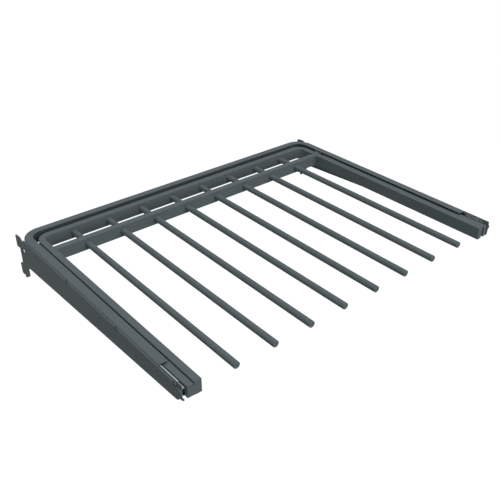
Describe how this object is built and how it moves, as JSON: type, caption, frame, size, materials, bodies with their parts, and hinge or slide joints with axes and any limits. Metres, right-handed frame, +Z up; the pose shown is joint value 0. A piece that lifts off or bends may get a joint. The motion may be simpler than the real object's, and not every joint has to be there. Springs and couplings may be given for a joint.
{
  "type": "pull out trouser rack",
  "caption": "Pull-out trouser rack: parallel rods on a frame that runs on ball slides inside a fixed frame, with clawed side plates for slotted uprights.",
  "frame": {"origin": "midway between the two side plates' claws, on the uprights' front faces, at the height of the rod axes", "axes": "+X to the right seen from the front, +Y to the back of the wardrobe, +Z up; the rack pulls out along -Y"},
  "size_m": [0.5956, 0.4466, 0.0755],
  "materials": {
    "powder_coat": "satin graphite powder coat",
    "zinc": "bright zinc plate",
    "ball_steel": "polished",
    "rubber": "matt"
  },
  "bodies": {
    "fixed_frame": {"outer_frame": "powder_coat", "left_bracket": "powder_coat", "right_bracket": "powder_coat", "left_frame_rivets": "powder_coat", "right_frame_rivets": "powder_coat", "left_rail": "zinc", "right_rail": "zinc", "left_rail_rivets": "zinc", "right_rail_rivets": "zinc", "left_buffer": "rubber", "right_buffer": "rubber"},
    "carriage": {"inner_frame": "powder_coat", "crossbar": "powder_coat", "rod_1": "powder_coat", "rod_2": "powder_coat", "rod_3": "powder_coat", "rod_4": "powder_coat", "rod_5": "powder_coat", "rod_6": "powder_coat", "rod_7": "powder_coat", "rod_8": "powder_coat", "left_carrier_bar": "powder_coat", "right_carrier_bar": "powder_coat", "left_spacers": "zinc", "right_spacers": "zinc", "left_screws": "zinc", "right_screws": "zinc", "left_nuts": "zinc", "right_nuts": "zinc", "left_front_cap": "powder_coat", "right_front_cap": "powder_coat", "left_runner": "zinc", "right_runner": "zinc", "left_runner_rivets": "zinc", "right_runner_rivets": "zinc"},
    "left_ball_cage": {"left_cage": "zinc", "left_balls": "ball_steel"},
    "right_ball_cage": {"right_cage": "zinc", "right_balls": "ball_steel"}
  },
  "joints": [
    {"name": "rack_slide", "type": "slide", "parent": "fixed_frame", "child": "carriage", "axis": [0, -1, 0], "range_m": [0, 0.27]},
    {"name": "left_cage_slide", "type": "slide", "parent": "fixed_frame", "child": "left_ball_cage", "axis": [0, -1, 0], "range_m": [0, 0.135]},
    {"name": "right_cage_slide", "type": "slide", "parent": "fixed_frame", "child": "right_ball_cage", "axis": [0, -1, 0], "range_m": [0, 0.135]}
  ],
  "couplings": [
    {"joint": "left_cage_slide", "follows": "rack_slide", "ratio": 0.5},
    {"joint": "right_cage_slide", "follows": "rack_slide", "ratio": 0.5}
  ]
}
